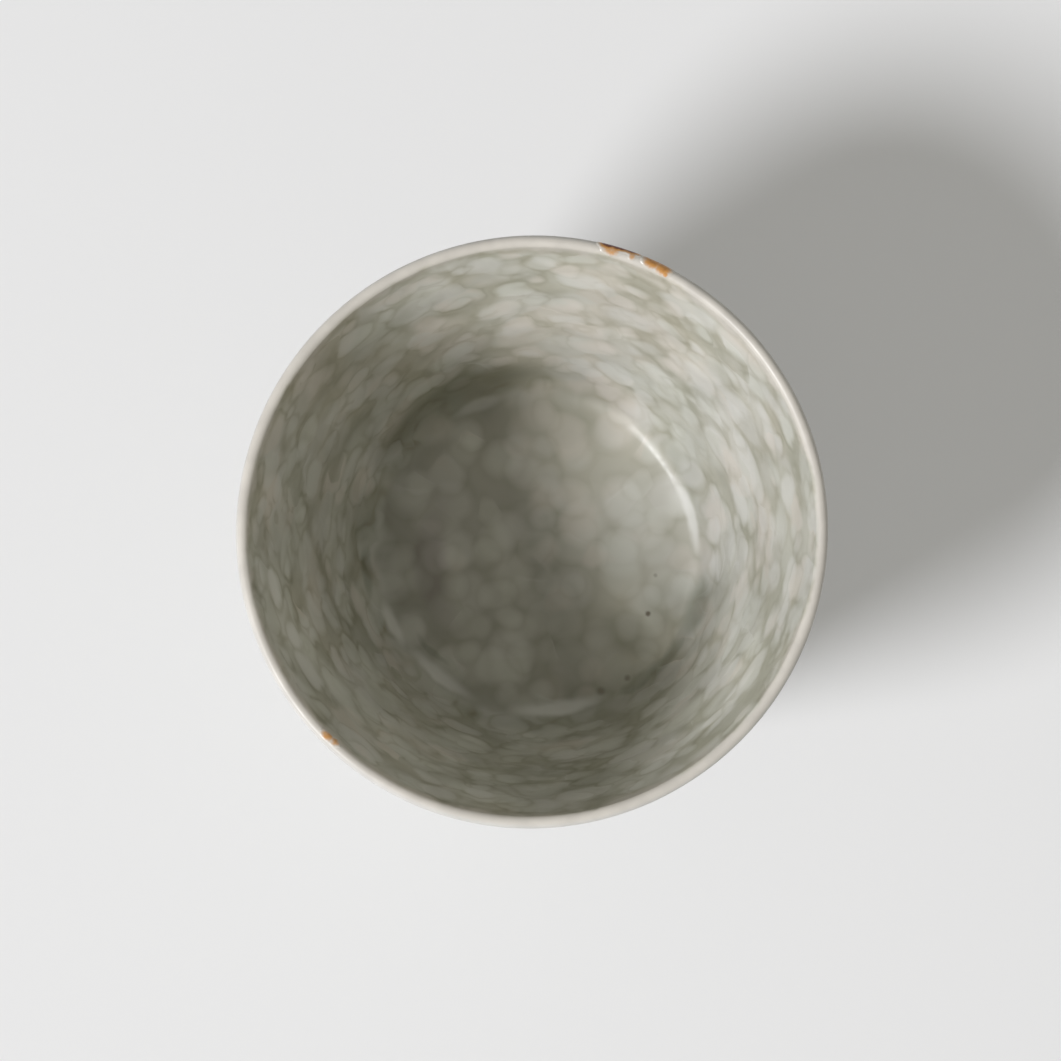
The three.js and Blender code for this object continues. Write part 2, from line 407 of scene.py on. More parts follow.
def turned_tree(hand_thrown):
    """Turns a profile about the axis, with throwing rings and uneven glaze, and gives it the finish.

    Each profile point holds lift, the direction in which its surface rises, or zero where it is covered.
    """
    tree, g, given, out = new_tree("turned_on_wheel", {
        "Turn Steps": ("Int", TURN_STEPS),
        "Ring Depth": ("Float", RING_DEPTH),
        "Ring Pitch": ("Float", RING_PITCH),
        "Relief": ("Float", GLAZE_RELIEF),
        "Relief Size": ("Float", GLAZE_RELIEF_SIZE),
        "Relief Level": ("Float", 0.5),
        "Edge Height": ("Float", 0.0),
        "Edge Wander": ("Float", 0.0),
        "Corner Swell": ("Float", 0.0),
        "Swell Bearing": ("Float", SWELL_BEARING),
        "Finish": ("Material", None),
    })
    profile = given["Geometry"]
    size = g.add("GeometryNodeAttributeDomainSize", {"Geometry": profile}, component="MESH")
    rows = size.outputs["Point Count"]
    columns = g.math("ADD", given["Turn Steps"], 1.0)
    sheet = g.add("GeometryNodeMeshGrid", {"Vertices X": columns, "Vertices Y": rows})

    index = g.add("GeometryNodeInputIndex").outputs[0]
    column = g.math("FLOOR", g.math("DIVIDE", index, rows))
    row = g.math("SUBTRACT", index, g.math("MULTIPLY", column, rows))
    turn = g.math("DIVIDE", g.math("MULTIPLY", column, FULL_TURN), given["Turn Steps"])
    cosine = g.math("COSINE", turn)
    sine = g.math("SINE", turn)

    def at_row(value):
        inputs = {"Geometry": profile, "Value": value, "Index": row}
        return g.add("GeometryNodeSampleIndex", inputs, data_type="FLOAT_VECTOR").outputs[0]

    def swung(vector):
        radial, _, height = g.split(vector)
        return g.joined(g.math("MULTIPLY", radial, cosine), g.math("MULTIPLY", radial, sine), height)

    lift = g.add("GeometryNodeInputNamedAttribute", {"Name": "lift"}, data_type="FLOAT_VECTOR").outputs[0]
    section = at_row(g.add("GeometryNodeInputPosition").outputs[0])
    place = swung(section)
    rising = swung(at_row(lift))
    height = g.split(place)[2]

    spiral = g.math("MULTIPLY_ADD", height, g.math("DIVIDE", FULL_TURN, given["Ring Pitch"]), turn)
    below_lip = g.step(height, RINGS_FADE, RINGS_END, 1.0, 0.0)
    above_floor = g.step(height, FLOOR_HEIGHT, 2 * FLOOR_HEIGHT)
    ring = g.math("MULTIPLY", g.math("SINE", spiral), given["Ring Depth"])
    ring = g.math("MULTIPLY", ring, g.math("MULTIPLY", below_lip, above_floor))
    relief_scale = g.math("DIVIDE", 1.0, given["Relief Size"])
    uneven = g.noise(place, relief_scale, detail=2.0, roughness=0.35)[0]
    uneven = g.math("MULTIPLY", g.math("SUBTRACT", uneven, given["Relief Level"]), given["Relief"])
    uneven = g.math("MULTIPLY", uneven, g.step(height, CALMER_FROM, HEIGHT, 1.0, CALMEST))

    round_trip = g.joined(cosine, sine, 2.0)
    from_corner = g.length(g.vector("SUBTRACT", section, (FLOOR_RADIUS, 0.0, FLOOR_HEIGHT)))
    near_corner = g.step(from_corner, 0.0, SWELL_REACH, 1.0, 0.0)
    sway = g.math("COSINE", g.math("SUBTRACT", turn, given["Swell Bearing"]))
    sway = g.step(sway, math.cos(SWELL_SPREAD), 1.0, LEAST_SWELL, 1.0)
    sway = g.math("MULTIPLY_ADD", g.noise(round_trip, SWELL_WAVES)[0], SWELL_UNEVEN, sway)
    swell = g.math("MULTIPLY", g.math("MULTIPLY", near_corner, sway), given["Corner Swell"])
    lifted = g.math("ADD", swell, g.math("ADD", ring, uneven))
    raised = g.vector("ADD", place, g.scaled(rising, lifted))

    wander = g.math("SUBTRACT", g.noise(round_trip, EDGE_WAVES)[0], 0.5)
    edge_end = g.math("ADD", given["Edge Height"], EDGE_FADE)
    near_edge = g.step(height, given["Edge Height"], edge_end, 1.0, 0.0)
    wander = g.math("MULTIPLY", g.math("MULTIPLY", wander, near_edge), given["Edge Wander"])
    raised = g.vector("ADD", raised, g.joined(0.0, 0.0, wander))

    skin = g.add("GeometryNodeSetPosition", {"Geometry": sheet.outputs[0], "Position": raised})
    finish_tree(g, skin.outputs[0], TURNED_WELD, hand_thrown, given, out)
    return tree


def baked(name, source, tree, values):
    """Runs a geometry tree on a source mesh and returns its result as a plain mesh object at the origin."""
    holder = bpy.data.objects.new(name + "_source", source)
    bpy.context.scene.collection.objects.link(holder)
    modifier = holder.modifiers.new("shape", "NODES")
    modifier.node_group = tree
    for item in tree.interface.items_tree:
        if item.in_out == "INPUT" and item.name in values:
            modifier[item.identifier] = values[item.name]
    depsgraph = bpy.context.evaluated_depsgraph_get()
    mesh = bpy.data.meshes.new_from_object(holder.evaluated_get(depsgraph), depsgraph=depsgraph)
    bpy.data.objects.remove(holder)
    mesh.set_sharp_from_angle(angle=SHARP_ANGLE)
    piece = bpy.data.objects.new(name, mesh)
    bpy.context.scene.collection.objects.link(piece)
    return piece


def profile_mesh(name, loop):
    mesh = bpy.data.meshes.new(name + "_profile")
    points = [(point.x, 0.0, point.y) for point, _ in loop]
    edges = [(index, index + 1) for index in range(len(points) - 1)]
    mesh.from_pydata(points, edges, [])
    lifts = mesh.attributes.new("lift", "FLOAT_VECTOR", "POINT")
    for item, (_, lift) in zip(lifts.data, loop):
        item.vector = (lift.x, 0.0, lift.y)
    return mesh


# Colours of the glaze: its ground, its dabs, what darkens it, painted shade among that, and where it is pale
# or sheen is painted
BEIGE_GROUND = (0.528, 0.494, 0.408, 1)
GREY_GROUND = (0.412, 0.409, 0.340, 1)
CREVICE = (0.460, 0.450, 0.390, 1)
WHITE_DAB = (0.690, 0.687, 0.654, 1)
PINK_DAB = (0.684, 0.644, 0.586, 1)
GREEN_DAB = (0.622, 0.628, 0.572, 1)
LINE_SHADE = (0.74, 0.73, 0.66, 1)
POOL_AND_PAINTED_SHADE = (0.52, 0.54, 0.49, 1)
PAINTED_FLOOR_SHADE = (0.84, 0.84, 0.86, 1)
MAUVE_PAINTED_SHADE = (0.86, 0.83, 0.86, 1)
RUN_PALE_AND_PAINTED_SHEEN = (0.74, 0.74, 0.71, 1)
CREAM = (0.638, 0.606, 0.548, 1)
LIP_EDGE = (0.630, 0.617, 0.584, 1)

# Colours of the iron and the bare clay
SPECK_BROWN = (0.10, 0.065, 0.035, 1)
IRON_ORANGE = (0.61, 0.30, 0.09, 1)
IRON_DARK = (0.15, 0.030, 0.014, 1)
CLAY_DARK = (0.60, 0.52, 0.40, 1)
CLAY_PALE = (0.69, 0.62, 0.51, 1)
CLAY_SPECK = (0.23, 0.15, 0.09, 1)

# Bearings in degrees: where the light comes from, what it shines on inside the cup, the middle of a
# darker part of the wall, and the lit side of the floor's corner, which has no ring of painted shade
LIGHT_BEARING = 211
LIT_BEARING = LIGHT_BEARING - 180
DARKER_BEARING = 5
LIT_CORNER_BEARING = 25
# The direction in plan that leads from the shaded to the lit side of the floor
ACROSS_FLOOR = (math.cos(0.3), math.sin(0.3), 0.0)

# Fineness of the noises in the materials, in cells per metre
SLOW_SCALE = 200.0
RIPPLE_SCALE = 520.0
QUICK_SCALE = 1100.0
CLOUD_SCALE = 240.0
PATCH_SCALE = 70.0
WALL_CLOUD_SCALE = 120.0
BROKEN_SCALE = 190.0
PEEL_SCALE = 900.0
GRAIN_SCALE = 1800.0
CLAY_CLOUD_SCALE = 120.0
CLAY_SPECK_SCALE = 700.0
MARK_RAGGED_SCALE = 1400.0

# How far the noises move the dabs, and the edges of thick glaze and painted shade, of pale runs and of the
# thin glaze at the lip
SLOW_REACH = 2.8 * MM
RIPPLE_REACH = 0.8 * MM
QUICK_REACH = 0.3 * MM
RAGGED_REACH = 2.4 * MM
PALE_RAGGED_REACH = 1.4 * MM
MARK_RAGGED_REACH = 0.35 * MM

# How bright the floor is, and bands across it of painted light on its shaded side and of painted shade along
# the edge of the shadow: where one begins, is full, fades and ends, and what it adds
FLOOR_LEVEL = 1.145
FLOOR_LIGHT_AND_SHADE_BANDS = (
    (-20 * MM, -12 * MM, -6 * MM, 0.0, 0.14),
    (-4 * MM, 0.0, 4 * MM, 9 * MM, -0.09),
)

# Layers of dabs. Each has a shift that sets it apart from the others, the spacing of its dabs, the share
# of places that hold one, softness, opacity, the least and most radius, and the strength of the outlines.
# Softness and radius count in spacings. A share above one leaves no place empty.
WALL_DABS = (
    ((0.0, 0.0, 0.0), 7.8 * MM, 0.95, 0.13, 0.56, 0.42, 0.70, 0.25),
    ((0.1, 0.2, 0.3), 6.0 * MM, 0.90, 0.10, 0.68, 0.35, 0.60, 0.42),
    ((0.4, 0.1, 0.2), 4.8 * MM, 0.65, 0.10, 0.64, 0.30, 0.54, 0.38),
)
FLOOR_DABS = (
    ((0.0, 0.0, 0.0), 7.4 * MM, 1.10, 0.10, 0.42, 0.31, 0.49, 0.22),
    ((0.31, 0.17, 0.0), 6.2 * MM, 0.80, 0.10, 0.40, 0.29, 0.46, 0.22),
    ((0.12, 0.43, 0.0), 5.2 * MM, 0.60, 0.10, 0.38, 0.27, 0.44, 0.22),
)

# Runs inside the cup: of glaze, of painted shade and of painted light. Each has the bearing of its middle
# and its half length in degrees, how far its middle lies up the wall from the floor's corner, in radius and
# height together, or below zero towards the axis, its half width, and its strength.
# Near 222°, 309°, 329° and 340° these are thick dark glaze in the floor's corner, the last two partly
# painted shade as well. Painted shade: the lower wall near 117° and 186°, the shadow's edge on the floor
# near 85°, 318° and 338°, and the upper wall near 276°.
DARK_POOLS_AND_PAINTED_SHADE = (
    (329, 30, -0.2 * MM, 2.2 * MM, 0.6),
    (117, 44, 5.0 * MM, 11.5 * MM, 0.84),
    (186, 13, 1.8 * MM, 2.6 * MM, 0.7),
    (340, 17, 0.3 * MM, 4.4 * MM, 0.72),
    (309, 15, -1.0 * MM, 2.0 * MM, 0.8),
    (222, 12, -4.1 * MM, 0.9 * MM, 0.5),
    (85, 34, -5.0 * MM, 8.0 * MM, 0.42),
    (318, 16, -8.0 * MM, 5.5 * MM, 0.4),
    (338, 14, -5.0 * MM, 5.0 * MM, 0.3),
    (276, 22, 44.0 * MM, 18.0 * MM, 0.3),
)
# Pale runs of glaze along the floor's corner. The one at 14° is a painted reflection: the broad lower end of
# the corner's highlight.
PALE_RUNS_AND_PAINTED_SHEEN = (
    (14, 17, -1.6 * MM, 1.7 * MM, 0.8),
    (112, 12, -1.0 * MM, 1.8 * MM, 0.5),
    (205.6, 11, -1.0 * MM, 1.7 * MM, 0.7),
    (231, 18, -1.9 * MM, 1.8 * MM, 0.9),
    (277, 22, -2.2 * MM, 2.0 * MM, 1.0),
)
# Painted shade, a little mauve, on the floor's shaded side near its corner.
MAUVE_PAINTED_SHADE_RUNS = ((184, 52, -9.0 * MM, 3.4 * MM, 1.0),)
# For these the strength is what a patch adds to the level of the colour. They are painted light on the upper
# wall: light bounced onto its shaded side near 200°, and light near the edge of the lit part near 322°.
PAINTED_LIGHT_PATCHES = (
    (200, 22, 46.0 * MM, 20.0 * MM, 0.13),
    (322, 20, 46.0 * MM, 20.0 * MM, 0.13),
)
# For these the strength is what a run adds to the roughness.
SATIN_RUNS = (
    (12, 24, -1.0 * MM, 6.0 * MM, 0.15),
    (66, 16, -1.0 * MM, 6.0 * MM, 0.2),
)


def on_outer_wall(bearing, height):
    turn = math.radians(bearing)
    radius = KNEE_RADIUS + (height - KNEE_HEIGHT) * math.tan(OUTER_LEAN)
    return (radius * math.cos(turn), radius * math.sin(turn), height)


# Specks of iron that came through the glaze: a place, a radius and a strength
SPECKS = (
    ((15.9 * MM, -8.7 * MM, FLOOR_HEIGHT), 0.44 * MM, 0.75),
    ((17.0 * MM, -3.1 * MM, FLOOR_HEIGHT), 0.34 * MM, 0.35),
    ((12.9 * MM, -18.1 * MM, FLOOR_HEIGHT), 0.55 * MM, 0.5),
    ((9.0 * MM, -20.0 * MM, FLOOR_HEIGHT), 0.70 * MM, 0.35),
    ((-34.6 * MM, 18.2 * MM, HEIGHT - 1.6 * MM), 0.40 * MM, 0.7),
    (on_outer_wall(24, 43 * MM), 0.55 * MM, 0.6),
    (on_outer_wall(118, 26 * MM), 0.60 * MM, 0.7),
    (on_outer_wall(203, 48 * MM), 0.50 * MM, 0.6),
    (on_outer_wall(262, 31 * MM), 0.55 * MM, 0.7),
    (on_outer_wall(317, 17 * MM), 0.50 * MM, 0.5),
)


# Materials


def new_material(name):
    material = bpy.data.materials.new(name)
    material.use_nodes = True
    graph = Graph(material.node_tree)
    shader = material.node_tree.nodes["Principled BSDF"]
    return material, graph, shader


class Spot:
    """Sockets that say where a point of the cup is and what the glaze is like there."""

    def __init__(self, g):
        self.place = g.add("ShaderNodeTexCoord").outputs["Object"]
        x, y, self.z = g.split(self.place)
        self.plan = g.joined(x, y, 0.0)
        self.radius = g.length(self.plan)
        above_floor = g.math("SUBTRACT", self.z, FLOOR_HEIGHT)
        # How far up from the floor's corner, in radius and in height together
        self.rise = g.math("ADD", g.math("SUBTRACT", self.radius, FLOOR_RADIUS), above_floor)

        wall_middle = g.math("MULTIPLY_ADD", above_floor, WALL_SLOPE, WALL_MIDDLE)
        past_middle = g.math("SUBTRACT", self.radius, wall_middle)
        within = g.step(past_middle, -0.4 * MM, 0.4 * MM, 1.0, 0.0)
        above = g.step(self.z, FLOOR_HEIGHT - 1 * MM, FLOOR_HEIGHT - 0.5 * MM)
        self.inside = g.math("MULTIPLY", within, above)
        level_part = g.step(self.rise, -2.0 * MM, 0.5 * MM, 1.0, 0.0)
        self.on_floor = g.math("MULTIPLY", level_part, self.inside)

        self.slow = g.drift(self.place, SLOW_SCALE, SLOW_REACH)
        self.ripple = g.drift(self.place, RIPPLE_SCALE, RIPPLE_REACH)
        self.quick = g.drift(self.place, QUICK_SCALE, QUICK_REACH, detail=1.0)
        self.cloudy = g.noise(self.place, CLOUD_SCALE)[0]
        self.patch = g.noise(self.place, PATCH_SCALE, detail=3.0)[0]
        # The ground is warmer towards +Y.
        patchy = g.math("MULTIPLY_ADD", self.patch, 2.0, -0.85)
        self.warm = g.math("MULTIPLY_ADD", y, 8.0, patchy, clamp=True)
        self.ground = g.blend(self.warm, GREY_GROUND, BEIGE_GROUND)


def towards(g, spot, bearing):
    """The cosine of the angle between the direction of a spot in plan and a bearing."""
    turn = math.radians(bearing)
    return g.dot(g.vector("NORMALIZE", spot.plan), (math.cos(turn), math.sin(turn), 0.0))


def runs_at(g, spot, rise, runs):
    """How strongly soft oblong runs show, fading out at their edges."""
    covered = 0.0
    for bearing, half_length, middle, half_width, strength in runs:
        along = g.math("DIVIDE", towards(g, spot, bearing + 90), math.sin(math.radians(half_length)))
        across = g.math("DIVIDE", g.math("SUBTRACT", rise, middle), half_width)
        distance = g.length(g.joined(along, across, 0.0))
        ahead = g.step(towards(g, spot, bearing), 0.0, 0.1)
        run = g.math("MULTIPLY", g.step(distance, 0.3, 1.0, strength, 0.0), ahead)
        covered = g.math("MAXIMUM", covered, run)
    return covered


def lay_dabs(g, colour, place, warm, layer, depth=1.0, flat=False):
    """Lays a scatter of soft round dabs over a colour, each with its own size, tint and strength.

    Dabs that touch run together. A depth above one darkens the outlines as painted shade. Flat dabs are
    scattered in plan.
    """
    shift, spacing, share, softness, opacity, least, most, line = layer
    place = g.vector("ADD", place, shift)
    inputs = {"Vector": place, "Scale": 1 / spacing, "Randomness": 1.0, "Smoothness": 0.3}
    spread = "2D" if flat else "3D"
    cells = g.add("ShaderNodeTexVoronoi", inputs, feature="SMOOTH_F1", voronoi_dimensions=spread)
    distance = cells.outputs["Distance"]
    chance = g.add("ShaderNodeSeparateColor", {"Color": cells.outputs["Color"]}).outputs
    radius = g.math("MULTIPLY_ADD", chance[0], most - least, least)
    far = g.math("ADD", radius, softness)
    body = g.step(distance, g.math("SUBTRACT", radius, 1.6 * softness), far, 1.0, 0.0)
    fade = 0.15 if flat else 0.04
    present = g.step(chance[1], 1 - fade - share, 1 + fade - share)
    strength = g.math("MULTIPLY", g.math("MULTIPLY_ADD", chance[2], 0.4, 0.6), opacity)
    body = g.math("MULTIPLY", g.math("MULTIPLY", body, present), strength)

    further = g.math("ADD", far, 1.5 * softness)
    outline = g.band(distance, radius, far, far, further)
    broken = g.step(g.noise(place, BROKEN_SCALE, detail=1.0)[0], 0.36, 0.60, 0.1 * line, line)
    outline = g.math("MULTIPLY", g.math("MULTIPLY", outline, present), g.math("MULTIPLY", broken, depth))
    colour = g.shaded(outline, colour, LINE_SHADE)

    tint = g.blend(g.step(g.math("ADD", chance[2], warm), 0.75, 1.05), WHITE_DAB, PINK_DAB)
    tint = g.blend(g.step(g.math("SUBTRACT", chance[1], warm), 0.35, 0.6), tint, GREEN_DAB)
    return g.blend(body, colour, tint)


def wall_colour(g, spot):
    """Warped dabs over the ground, with outlines darkened as painted shade on the light's side, which is
    shaded inside.
    """
    warp = g.vector("ADD", spot.slow, g.vector("ADD", spot.ripple, spot.quick))
    warped = g.vector("ADD", spot.place, warp)
    # Painted shade: outlines darker towards the light's bearing, whose side is shaded inside the cup.
    depth = g.step(towards(g, spot, LIGHT_BEARING), -0.5, 0.6, 0.8, 1.6)
    colour = spot.ground
    for layer in WALL_DABS:
        colour = lay_dabs(g, colour, warped, spot.warm, layer, depth)
    cloud = g.noise(spot.place, WALL_CLOUD_SCALE, detail=1.0)[0]
    return g.scaled(colour, g.step(cloud, 0.3, 0.7, 0.94, 1.06))


def floor_colour(g, spot):
    """Calmer dabs over a ground with painted shade on its shaded side, and soft bands of painted light and
    shade across it.
    """
    warp = g.vector("ADD", g.scaled(spot.slow, 0.5), g.scaled(spot.ripple, 0.4))
    calmer = g.vector("ADD", spot.place, warp)
    across = g.dot(spot.plan, ACROSS_FLOOR)
    colour = g.blend(g.step(spot.patch, 0.3, 0.7, 0.05, 0.6), CREVICE, spot.ground)
    # Painted shade: the ground darker on the floor's shaded side.
    colour = g.shaded(g.step(across, -4 * MM, 8 * MM, 1.0, 0.0), colour, PAINTED_FLOOR_SHADE)
    for layer in FLOOR_DABS:
        colour = lay_dabs(g, colour, calmer, spot.warm, layer, flat=True)
    level = FLOOR_LEVEL
    for *limits, added in FLOOR_LIGHT_AND_SHADE_BANDS:
        level = g.math("MULTIPLY_ADD", g.band(across, *limits), added, level)
    # Painted light on the floor's lit side.
    level = g.math("ADD", level, g.step(across, 5 * MM, 15 * MM, 0.0, 0.10))
    return g.scaled(colour, level)


def levelled(g, spot, colour):
    """Paler up the wall. Inside, painted light at both sides of the lit part and in patches, and darker on
    the right.
    """
    off_middle = g.math("MULTIPLY", g.step(spot.radius, 4 * MM, 15 * MM), spot.inside)
    # Painted light: paler inside at both sides of the part the lamp lights.
    sides = g.math("MULTIPLY", g.band(towards(g, spot, LIT_BEARING), -0.35, 0.05, 0.45, 0.85), off_middle)
    level = g.math("MULTIPLY_ADD", sides, 0.14, g.step(spot.z, FLOOR_HEIGHT, HEIGHT, 0.90, 1.05))
    darker = g.math("MULTIPLY", g.step(towards(g, spot, DARKER_BEARING), 0.7, 1.0), off_middle)
    level = g.math("MULTIPLY_ADD", darker, -0.08, level)
    # Painted light in patches on the upper wall.
    patches = g.math("MULTIPLY", runs_at(g, spot, spot.rise, PAINTED_LIGHT_PATCHES), spot.inside)
    return g.scaled(colour, g.math("ADD", level, patches))


def pooled_and_shaded(g, spot, colour):
    """Thick glaze and painted shade darken the corner, runs and a painted reflection pale it, painted mauve
    shades it.
    """
    edge = g.nudged(spot.rise, spot.cloudy, RAGGED_REACH)
    # Painted shade: a darker ring along the floor's corner, except on the side facing the light.
    painted_corner_shade = g.step(towards(g, spot, LIT_CORNER_BEARING), 0.1, 0.6, 0.26, 0.0)
    ring = g.math("MULTIPLY", g.band(edge, -5 * MM, -1.8 * MM, 0.6 * MM, 5 * MM), painted_corner_shade)
    # The dark runs and the ring share one colour: thick glaze and painted shade.
    pools_and_shade = g.math("MAXIMUM", runs_at(g, spot, edge, DARK_POOLS_AND_PAINTED_SHADE), ring)
    colour = g.shaded(g.math("MULTIPLY", pools_and_shade, spot.inside), colour, POOL_AND_PAINTED_SHADE)
    # Pale runs of glaze, and a painted reflection where the run at 14° widens the corner's highlight.
    softer = g.nudged(spot.rise, spot.cloudy, PALE_RAGGED_REACH)
    pale = g.math("MULTIPLY", runs_at(g, spot, softer, PALE_RUNS_AND_PAINTED_SHEEN), spot.inside)
    colour = g.blend(g.math("MULTIPLY", pale, 0.8), colour, RUN_PALE_AND_PAINTED_SHEEN)
    # Painted shade, a little mauve, on the shaded side of the floor.
    mauve = g.math("MULTIPLY", runs_at(g, spot, edge, MAUVE_PAINTED_SHADE_RUNS), spot.on_floor)
    return g.shaded(mauve, colour, MAUVE_PAINTED_SHADE)


def thinned_at_lip(g, spot, colour):
    """Cream over the lip, where the glaze runs thin, with a broken darker line below it inside."""
    ragged = g.noise(spot.place, BROKEN_SCALE, detail=3.0)[0]
    reach = g.math("SUBTRACT", g.nudged(spot.radius, ragged, RAGGED_REACH), MOUTH_RADIUS)
    up = g.math("SUBTRACT", g.nudged(spot.z, ragged, RAGGED_REACH), HEIGHT)
    lip_up = g.step(up, -3.4 * MM, -1.3 * MM)
    line = g.band(reach, -3.6 * MM, -2.7 * MM, -2.5 * MM, 0.0)
    line = g.math("MULTIPLY", line, g.math("MULTIPLY", lip_up, g.step(spot.cloudy, 0.35, 0.6)))
    colour = g.shaded(line, colour, LINE_SHADE)
    lip_in = g.step(reach, -2.45 * MM, -1.55 * MM)
    outermost = g.step(spot.radius, MOUTH_RADIUS - 0.9 * MM, MOUTH_RADIUS - 0.2 * MM)
    lip = g.scaled(g.blend(outermost, CREAM, LIP_EDGE), g.step(spot.cloudy, 0.3, 0.7, 0.93, 1.04))
    return g.blend(g.math("MULTIPLY", lip_in, lip_up), colour, lip)


def speckled(g, spot, colour):
    """Specks of iron, fading out at their edges."""
    place = g.vector("ADD", spot.place, g.scaled(spot.quick, 0.5))
    speck = 0.0
    for middle, radius, strength in SPECKS:
        distance = g.length(g.vector("SUBTRACT", place, middle))
        speck = g.math("MAXIMUM", speck, g.step(distance, 0.3 * radius, 1.3 * radius, strength, 0.0))
    return g.blend(speck, colour, SPECK_BROWN)


def glaze(name, smoothest, roughest, gloss):
    """A mottled glaze whose roughness wanders between two values and rises along the satin runs."""
    material, g, shader = new_material(name)
    spot = Spot(g)
    colour = g.blend(spot.on_floor, wall_colour(g, spot), floor_colour(g, spot))
    for treatment in (levelled, pooled_and_shaded, thinned_at_lip, speckled):
        colour = treatment(g, spot, colour)
    g.feed(shader.inputs["Base Color"], colour)
    peel = g.noise(spot.place, PEEL_SCALE)[0]
    wandering = g.step(peel, 0.3, 0.7, smoothest, roughest)
    satin = g.math("MULTIPLY", runs_at(g, spot, spot.rise, SATIN_RUNS), spot.inside)
    g.feed(shader.inputs["Roughness"], g.math("ADD", wandering, satin))
    shader.inputs["Specular IOR Level"].default_value = gloss
    bump = g.add("ShaderNodeBump", {"Height": peel, "Strength": 0.05, "Distance": 0.1 * MM})
    g.feed(shader.inputs["Normal"], bump.outputs[0])
    return material


def bare_clay():
    """Pale fired clay, grainy, with small dark specks."""
    material, g, shader = new_material("bare_clay")
    place = g.add("ShaderNodeTexCoord").outputs["Object"]
    grain = g.noise(place, GRAIN_SCALE, detail=3.0)[0]
    cloud = g.noise(place, CLAY_CLOUD_SCALE, detail=3.0)[0]
    colour = g.blend(g.step(cloud, 0.35, 0.65), CLAY_DARK, CLAY_PALE)
    cells = g.add("ShaderNodeTexVoronoi", {"Vector": place, "Scale": CLAY_SPECK_SCALE}, feature="F1")
    colour = g.blend(g.step(cells.outputs["Distance"], 0.06, 0.16, 0.7, 0.0), colour, CLAY_SPECK)
    g.feed(shader.inputs["Base Color"], colour)
    shader.inputs["Roughness"].default_value = 0.85
    bump = g.add("ShaderNodeBump", {"Height": grain, "Strength": 0.35, "Distance": 0.15 * MM})
    g.feed(shader.inputs["Normal"], bump.outputs[0])
    return material


def iron_enamel():
    """Iron oxide, cream where it runs out, then orange, then a dark red brown where it lies thick."""
    material, g, shader = new_material("iron_enamel")
    place = g.add("ShaderNodeTexCoord").outputs["Object"]
    iron = g.add("ShaderNodeAttribute", attribute_name="iron").outputs["Fac"]
    iron = g.nudged(iron, g.noise(place, GRAIN_SCALE, detail=3.0)[0], 0.4)
    colour = g.blend(g.step(iron, 0.08, 0.55), CREAM, IRON_ORANGE)
    colour = g.blend(g.step(iron, 0.52, 0.92), colour, IRON_DARK)
    g.feed(shader.inputs["Base Color"], colour)
    shader.inputs["Roughness"].default_value = 0.3
    return material


# Iron marks on the lip: where each lies, its bearing in degrees, and its soft patches.
# A patch is its middle along the lip and over it, its half length, its half width and its strength.
# Over the lip counts from the mouth's widest line, up over the crest and down the inside.
IRON_MARKS = {
    "iron_mark_long": {
        "Bearing": 72.7, "Length": 8 * MM, "Width": 3.0 * MM, "Middle": 0.8 * MM,
        "patches": [
            (1.7 * MM, 0.3 * MM, 1.7 * MM, 1.15 * MM, 1.0),
            (0.2 * MM, 0.3 * MM, 1.9 * MM, 1.0 * MM, 1.0),
            (-1.6 * MM, 0.25 * MM, 1.8 * MM, 0.85 * MM, 0.95),
            (1.1 * MM, 1.2 * MM, 1.7 * MM, 1.0 * MM, 0.42),
            (-2.0 * MM, 1.0 * MM, 0.7 * MM, 0.9 * MM, 0.45),
        ],
    },
    "iron_mark_broad": {
        "Bearing": 64.6, "Length": 6.4 * MM, "Width": 3.0 * MM, "Middle": 0.9 * MM,
        "patches": [
            (0.9 * MM, 0.8 * MM, 1.8 * MM, 1.25 * MM, 0.58),
            (-0.8 * MM, 0.95 * MM, 1.8 * MM, 1.3 * MM, 0.58),
            (0.2 * MM, 0.1 * MM, 2.6 * MM, 0.7 * MM, 0.74),
            (-1.5 * MM, 1.6 * MM, 0.55 * MM, 0.5 * MM, 0.6),
        ],
    },
    "iron_mark_left": {
        "Bearing": 225.8, "Length": 5 * MM, "Width": 2.0 * MM, "Middle": 1.65 * MM,
        "patches": [
            (0.9 * MM, 1.8 * MM, 1.1 * MM, 0.8 * MM, 0.40),
            (-0.5 * MM, 1.65 * MM, 1.4 * MM, 0.8 * MM, 0.48),
        ],
    },
}
MARK_COLUMNS = 72
MARK_ROWS = 40


